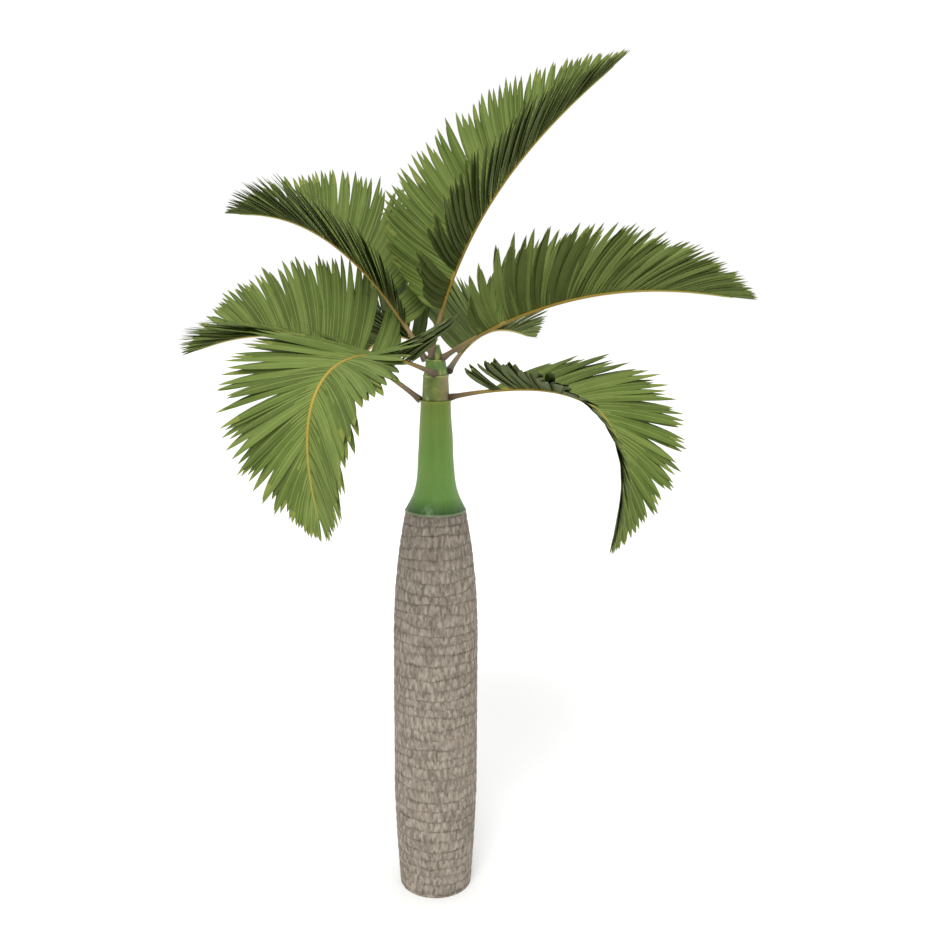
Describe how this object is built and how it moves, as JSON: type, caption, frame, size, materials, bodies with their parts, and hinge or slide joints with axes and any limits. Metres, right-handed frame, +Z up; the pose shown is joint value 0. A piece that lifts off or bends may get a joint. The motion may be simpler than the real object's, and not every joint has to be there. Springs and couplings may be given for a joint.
{
  "type": "spindle palm",
  "caption": "Rooted palm with a grey spindle-shaped trunk, a slim green crownshaft and an arching crown of feather fronds.",
  "frame": {"origin": "centre of the flat cut under the trunk, at ground level", "axes": "+Z up along the trunk; the picture looks along +Y, so +X is its right and -Y its near side"},
  "size_m": [3.0486, 2.591, 4.4729],
  "materials": {
    "bark": "matt grey-brown bark with close leaf-scar rings",
    "crownshaft_green": "smooth waxy green leaf sheath",
    "sheath_olive": "smooth olive leaf sheath",
    "rib_yellow": "satin yellow-orange rib",
    "leaf_green": "satin leaf"
  },
  "bodies": {
    "root": {"trunk": "bark", "crownshaft": "crownshaft_green", "lower_sheath": "sheath_olive", "upper_sheath": "sheath_olive", "crown_heart": "sheath_olive", "frond_upright_rib_inner": "rib_yellow", "frond_upright_right_inner": "leaf_green", "frond_upright_left_inner": "leaf_green", "frond_upright_rib_outer": "rib_yellow", "frond_upright_right_outer": "leaf_green", "frond_upright_left_outer": "leaf_green", "frond_right_rib_inner": "rib_yellow", "frond_right_right_inner": "leaf_green", "frond_right_left_inner": "leaf_green", "frond_right_rib_outer": "rib_yellow", "frond_right_right_outer": "leaf_green", "frond_right_left_outer": "leaf_green", "frond_back_right_rib_inner": "rib_yellow", "frond_back_right_right_inner": "leaf_green", "frond_back_right_left_inner": "leaf_green", "frond_back_right_rib_outer": "rib_yellow", "frond_back_right_right_outer": "leaf_green", "frond_back_right_left_outer": "leaf_green", "frond_low_right_rib_inner": "rib_yellow", "frond_low_right_right_inner": "leaf_green", "frond_low_right_left_inner": "leaf_green", "frond_low_right_rib_outer": "rib_yellow", "frond_low_right_right_outer": "leaf_green", "frond_low_right_left_outer": "leaf_green", "frond_rear_rib_inner": "rib_yellow", "frond_rear_right_inner": "leaf_green", "frond_rear_left_inner": "leaf_green", "frond_rear_rib_outer": "rib_yellow", "frond_rear_right_outer": "leaf_green", "frond_rear_left_outer": "leaf_green", "frond_upper_left_rib_inner": "rib_yellow", "frond_upper_left_right_inner": "leaf_green", "frond_upper_left_left_inner": "leaf_green", "frond_upper_left_rib_outer": "rib_yellow", "frond_upper_left_right_outer": "leaf_green", "frond_upper_left_left_outer": "leaf_green", "frond_left_rib_inner": "rib_yellow", "frond_left_right_inner": "leaf_green", "frond_left_left_inner": "leaf_green", "frond_left_rib_outer": "rib_yellow", "frond_left_right_outer": "leaf_green", "frond_left_left_outer": "leaf_green", "frond_front_left_rib_inner": "rib_yellow", "frond_front_left_right_inner": "leaf_green", "frond_front_left_left_inner": "leaf_green", "frond_front_left_rib_outer": "rib_yellow", "frond_front_left_right_outer": "leaf_green", "frond_front_left_left_outer": "leaf_green"}
  },
  "joints": []
}
